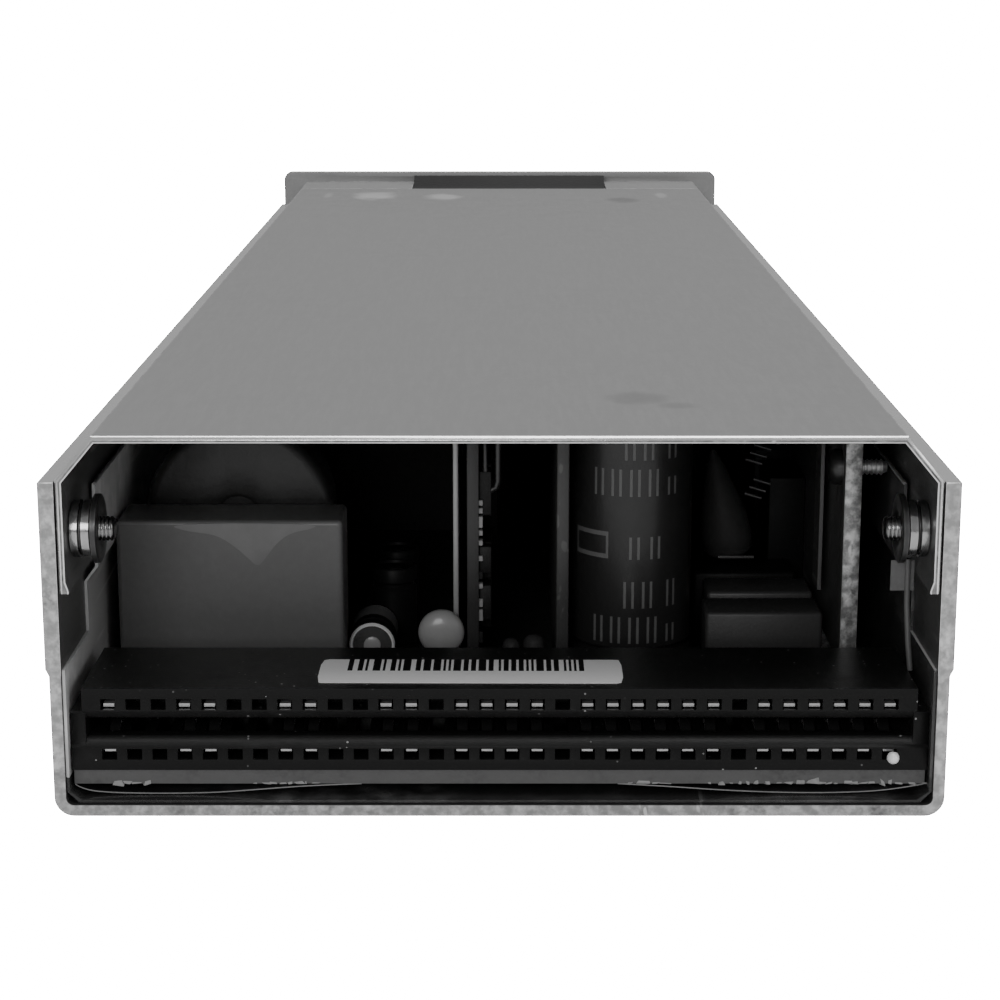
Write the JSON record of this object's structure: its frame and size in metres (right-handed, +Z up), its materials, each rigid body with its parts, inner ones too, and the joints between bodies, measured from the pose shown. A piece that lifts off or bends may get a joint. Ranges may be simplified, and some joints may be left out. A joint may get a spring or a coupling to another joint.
{
  "type": "hot swap server power supply",
  "caption": "Slim hot swap server power supply in a folded sheet metal case, with a card edge socket at one end and a fan, mains inlet, latch and pull handle at the other.",
  "frame": {"origin": "middle of the supply's outline on the surface that it rests on", "axes": "+Y along the supply from the mating end to the faceplate, +Z up through the cover, +X to the right as seen from the mating end"},
  "size_m": [0.0904, 0.2824, 0.0413],
  "materials": {
    "zinc_sheet": "satin zinc plated sheet with fine scuffs",
    "cover_paint": "satin grey with faint smudges",
    "bright_steel": "bright, lightly worn",
    "spring_steel": "bright wire",
    "latch_plastic": "fine matt texture",
    "fan_plastic": "matt black",
    "inlet_plastic": "matt black",
    "brass_pins": "bright nickel plated",
    "light_lens": "clear moulded lens",
    "circuit_board": "satin solder resist over glass laminate",
    "clear_film": "clear glossy film",
    "connector_plastic": "fine moulded black",
    "contact_gold": "bright plated",
    "potting_grey": "satin grey case",
    "toroid_coat": "thick satin coating over the winding",
    "capacitor_sleeve": "shiny shrunk sleeve",
    "dipped_coat": "glossy dipped bead",
    "sink_aluminium": "satin rolled sheet",
    "bar_zinc": "scratched bright zinc",
    "package_black": "matt moulded epoxy",
    "film_box": "satin moulded box",
    "ferrite": "dull grey ferrite",
    "winding_tape": "taped winding",
    "fuse_ceramic": "white ceramic tube"
  },
  "bodies": {
    "case": {"board_screws": "bright_steel", "board_seats": "bright_steel", "boost_choke": "toroid_coat", "bridge_rectifier": "package_black", "bulk_capacitor": "capacitor_sleeve", "chassis_tray": "zinc_sheet", "clinch_nuts": "bright_steel", "connector_housing": "connector_plastic", "control_board": "circuit_board", "control_board_chips": "package_black", "cover_screws": "bright_steel", "dipped_capacitor": "dipped_coat", "faceplate": "zinc_sheet", "faceplate_screws": "bright_steel", "fan_bulkhead": "zinc_sheet", "fan_frame": "fan_plastic", "fan_screws": "bright_steel", "film_capacitors": "film_box", "filter_choke": "ferrite", "fuse_clips": "bright_steel", "handle_screws": "bright_steel", "heatsink_screw": "bright_steel", "inlet_pins": "brass_pins", "insulating_film": "clear_film", "latch_pin": "bright_steel", "latch_spring": "spring_steel", "left_heatsink": "sink_aluminium", "lower_contacts": "contact_gold", "main_board": "circuit_board", "mains_fuse": "fuse_ceramic", "mains_inlet": "inlet_plastic", "middle_heatsink": "sink_aluminium", "output_capacitors": "capacitor_sleeve", "potted_choke": "potting_grey", "power_transistors": "package_black", "pull_handle": "latch_plastic", "right_heatsink": "bar_zinc", "small_capacitors": "capacitor_sleeve", "status_lights": "light_lens", "top_cover": "cover_paint", "toroid_choke": "toroid_coat", "toroid_cradle": "latch_plastic", "transformer_core": "ferrite", "transformer_winding": "winding_tape", "upper_contacts": "contact_gold"},
    "rotor": {"fan_rotor": "fan_plastic"},
    "latch": {"release_latch": "latch_plastic"}
  },
  "joints": [
    {"name": "fan_spin", "type": "hinge", "parent": "case", "child": "rotor", "pos_m": [-0.022, 0.08475, 0.0196], "axis": [0, 1, 0], "continuous": true},
    {"name": "latch_press", "type": "hinge", "parent": "case", "child": "latch", "pos_m": [0.0019, 0.10155, 0.0368], "axis": [-1, 0, 0], "range_deg": [0, 9], "stiffness_Nm_per_rad": 0.08, "springref_deg": -34.38, "deforming": ["latch_spring"]}
  ]
}
